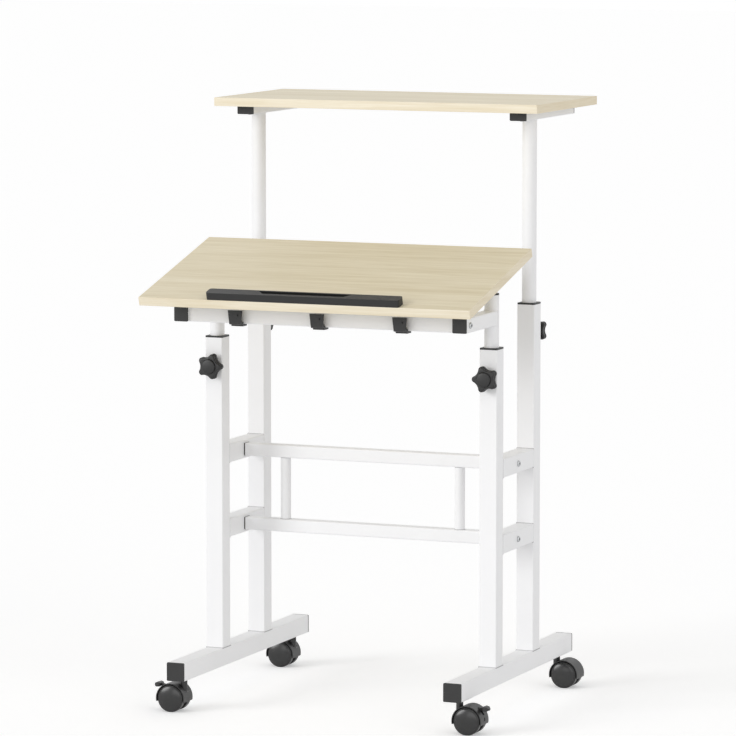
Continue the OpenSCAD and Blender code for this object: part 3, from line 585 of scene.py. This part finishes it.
def square_bead(target, middle, size):
    """A rounded rim round a joint of square tube; the joint's plane is where size is 0."""
    sides = Vector(size) + Vector((2, 2, 2)) * BEAD * MM
    rim = bmesh.new()
    bmesh.ops.create_cube(rim, size=1, matrix=Matrix.Diagonal((*sides, 1)))
    bmesh.ops.bevel(rim, geom=list(rim.edges), offset=BEAD * BEAD_ROUND * MM, offset_type="OFFSET",
                    affect="EDGES", segments=ROUND_STEPS, profile=0.5, material=-1)
    for face in rim.faces:
        # On an upright joint the painted shade shows only above and below the tube
        beside = size[1] == 0 and abs(face.calc_center_median().x) > size[0] / 2
        face.material_index = WHITE_BEAD if beside else PAINTED_SHADE_BEAD
    put(target, rim, Matrix.Translation(middle))
    rim.free()


def round_bead(target, middle, radius, axis="Z"):
    """A ring round the end of a round tube or boss."""
    root, shoulder = radius - RING_ROOT, SHOULDER * BEAD
    section = [(root, -BEAD), (radius, -BEAD), (radius + shoulder, -shoulder),
               (radius + BEAD, 0), (radius + shoulder, shoulder), (radius, BEAD),
               (root, BEAD), (root, -BEAD)]
    ring = turn(section)
    turned = Matrix.Rotation(math.radians(90), 4, "X") if axis == "Y" else Matrix.Identity(4)
    put(target, ring, Matrix.Translation(middle) @ turned)
    ring.free()


beads = bmesh.new()
for side in SIDES:
    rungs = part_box(f"side_rungs_{side}")
    mid_x = (rungs[0].x + rungs[1].x) / 2
    width = rungs[1].x - rungs[0].x
    for end, facing in ENDS.items():
        low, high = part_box(f"column_{end}_{side}")
        face_y = rungs[0 if end == "front" else 1].y
        mid_y = face_y + facing * width / 2
        square_bead(beads, Vector((mid_x, mid_y, low.z)), (width, width, 0))
        for z in bar_z:
            square_bead(beads, Vector((mid_x, face_y, z)), (width, 0, width))
        seat = pins[f"knob_turn_{end}_{side}"]
        round_bead(beads, Vector((seat.x, mid_y + facing * width / 2, seat.z)), BOSS_R, "Y")
low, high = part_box("ladder_uprights")
radius = (high.y - low.y) / 2
for x in (low.x + radius, high.x - radius):
    for z in (low.z, high.z):
        round_bead(beads, Vector((x, ladder_y, z)), radius / MM)
# The rings and the rims' tops and bottoms take the grey painted shade, the rims' sides the white coat
piece("frame_welds", beads, "base", [], [JOINT_SHADE_COAT, COAT], BEAD_CREASE)

beads = bmesh.new()
for side in SIDES:
    low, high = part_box(f"desk_arm_{side}")
    middle = (low + high) / 2
    width = high.x - low.x
    square_bead(beads, Vector((middle.x, high.y - ARM_END * MM, middle.z)), (width, 0, width))
# The tube hides these beads but for their corners, which are white as well
piece("arm_welds", beads, "desk_frame", [], [COAT, COAT], BEAD_CREASE)

beads = bmesh.new()
for side in SIDES:
    low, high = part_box(f"shelf_tube_{side}")
    middle = (low + high) / 2
    round_bead(beads, Vector((middle.x, middle.y, high.z)), (high.x - low.x) / 2 / MM)
piece("rail_welds", beads, "shelf_frame", [], [COAT], BEAD_CREASE)


# Lamps, backdrop and camera

def white_for_eyes(tree, plain, shown):
    """Mixes two shaders, so that the camera, gloss and glass see the second one."""
    path = add(tree, "ShaderNodeLightPath")
    eyes = add(tree, "ShaderNodeMath",
               {0: path.outputs["Is Camera Ray"], 1: path.outputs["Is Glossy Ray"]},
               operation="MAXIMUM")
    eyes = add(tree, "ShaderNodeMath",
               {0: eyes.outputs["Value"], 1: path.outputs["Is Transmission Ray"]},
               operation="MAXIMUM")
    return add(tree, "ShaderNodeMixShader",
               {0: eyes.outputs["Value"], 1: plain.outputs[0], 2: shown.outputs[0]})


WHITE = (1, 1, 1, 1)
# The room's light on the desk, and how much lighter than itself the floor looks
ROOM_LIGHT, FLOOR_LIFT = 0.6, 0.3
# Half the floor's side in metres
FLOOR_HALF = 30

world = bpy.data.worlds.new("studio")
bpy.context.scene.world = world
world.use_nodes = True
world.node_tree.nodes.clear()
plain = add(world.node_tree, "ShaderNodeBackground", {"Color": WHITE, "Strength": ROOM_LIGHT})
shown = add(world.node_tree, "ShaderNodeBackground", {"Color": WHITE, "Strength": 1})
mixed = white_for_eyes(world.node_tree, plain, shown)
add(world.node_tree, "ShaderNodeOutputWorld", {"Surface": mixed.outputs[0]})

paper, tree = empty_material("white_backdrop_paper")
diffuse = add(tree, "ShaderNodeBsdfDiffuse", {"Color": srgb("#F2F2F2")})
glow = add(tree, "ShaderNodeEmission", {"Strength": FLOOR_LIFT})
lifted = add(tree, "ShaderNodeAddShader", {0: diffuse.outputs[0], 1: glow.outputs[0]})
mixed = white_for_eyes(tree, diffuse, lifted)
add(tree, "ShaderNodeOutputMaterial", {"Surface": mixed.outputs[0]})

ground = bmesh.new()
bmesh.ops.create_grid(ground, x_segments=1, y_segments=1, size=FLOOR_HALF)
mesh = bpy.data.meshes.new("floor")
ground.to_mesh(mesh)
ground.free()
mesh.materials.append(paper)
floor = bpy.data.objects.new("floor", mesh)
bpy.context.scene.collection.objects.link(floor)

# Name, direction towards the lamp, strength, and its width in degrees, which softens shadows
LAMPS = [
    ("key", (-0.62, -0.72, 0.3), 1.2, 28),
    ("fill", (0.9, -0.35, 0.25), 0.62, 60),
    ("front", (-0.05, -1, 0.04), 0.3, 30),
]
for name, towards, strength, spread in LAMPS:
    lamp = bpy.data.lights.new(name, "SUN")
    lamp.energy = strength
    lamp.angle = math.radians(spread)
    holder = bpy.data.objects.new(name, lamp)
    holder.rotation_mode = "QUATERNION"
    holder.rotation_quaternion = Vector(towards).to_track_quat("Z", "Y")
    bpy.context.scene.collection.objects.link(holder)

# In millimetres
FOCAL_LENGTH, SENSOR = 227.85, 36
# In metres, and in degrees down from level and round from straight ahead
CAMERA_AT, CAMERA_DOWN, CAMERA_ROUND = (3.057, -7.3814, 1.5008), 6.573, 22.541
# How far the camera sees, in metres
FARTHEST = 100

lens = bpy.data.cameras.new("camera")
lens.lens = FOCAL_LENGTH
lens.sensor_width = SENSOR
lens.clip_end = FARTHEST
camera = bpy.data.objects.new("camera", lens)
camera.location = CAMERA_AT
camera.rotation_euler = (math.radians(90 - CAMERA_DOWN), 0, math.radians(CAMERA_ROUND))
bpy.context.scene.collection.objects.link(camera)
bpy.context.scene.camera = camera
bpy.context.scene.view_settings.view_transform = "Standard"

# The CAD nodes that stay in view
for entry in frame["record"]["subparts"]:
    nodes[entry["node"]].material_slots[0].material = FINISH[entry["material_slot"]]
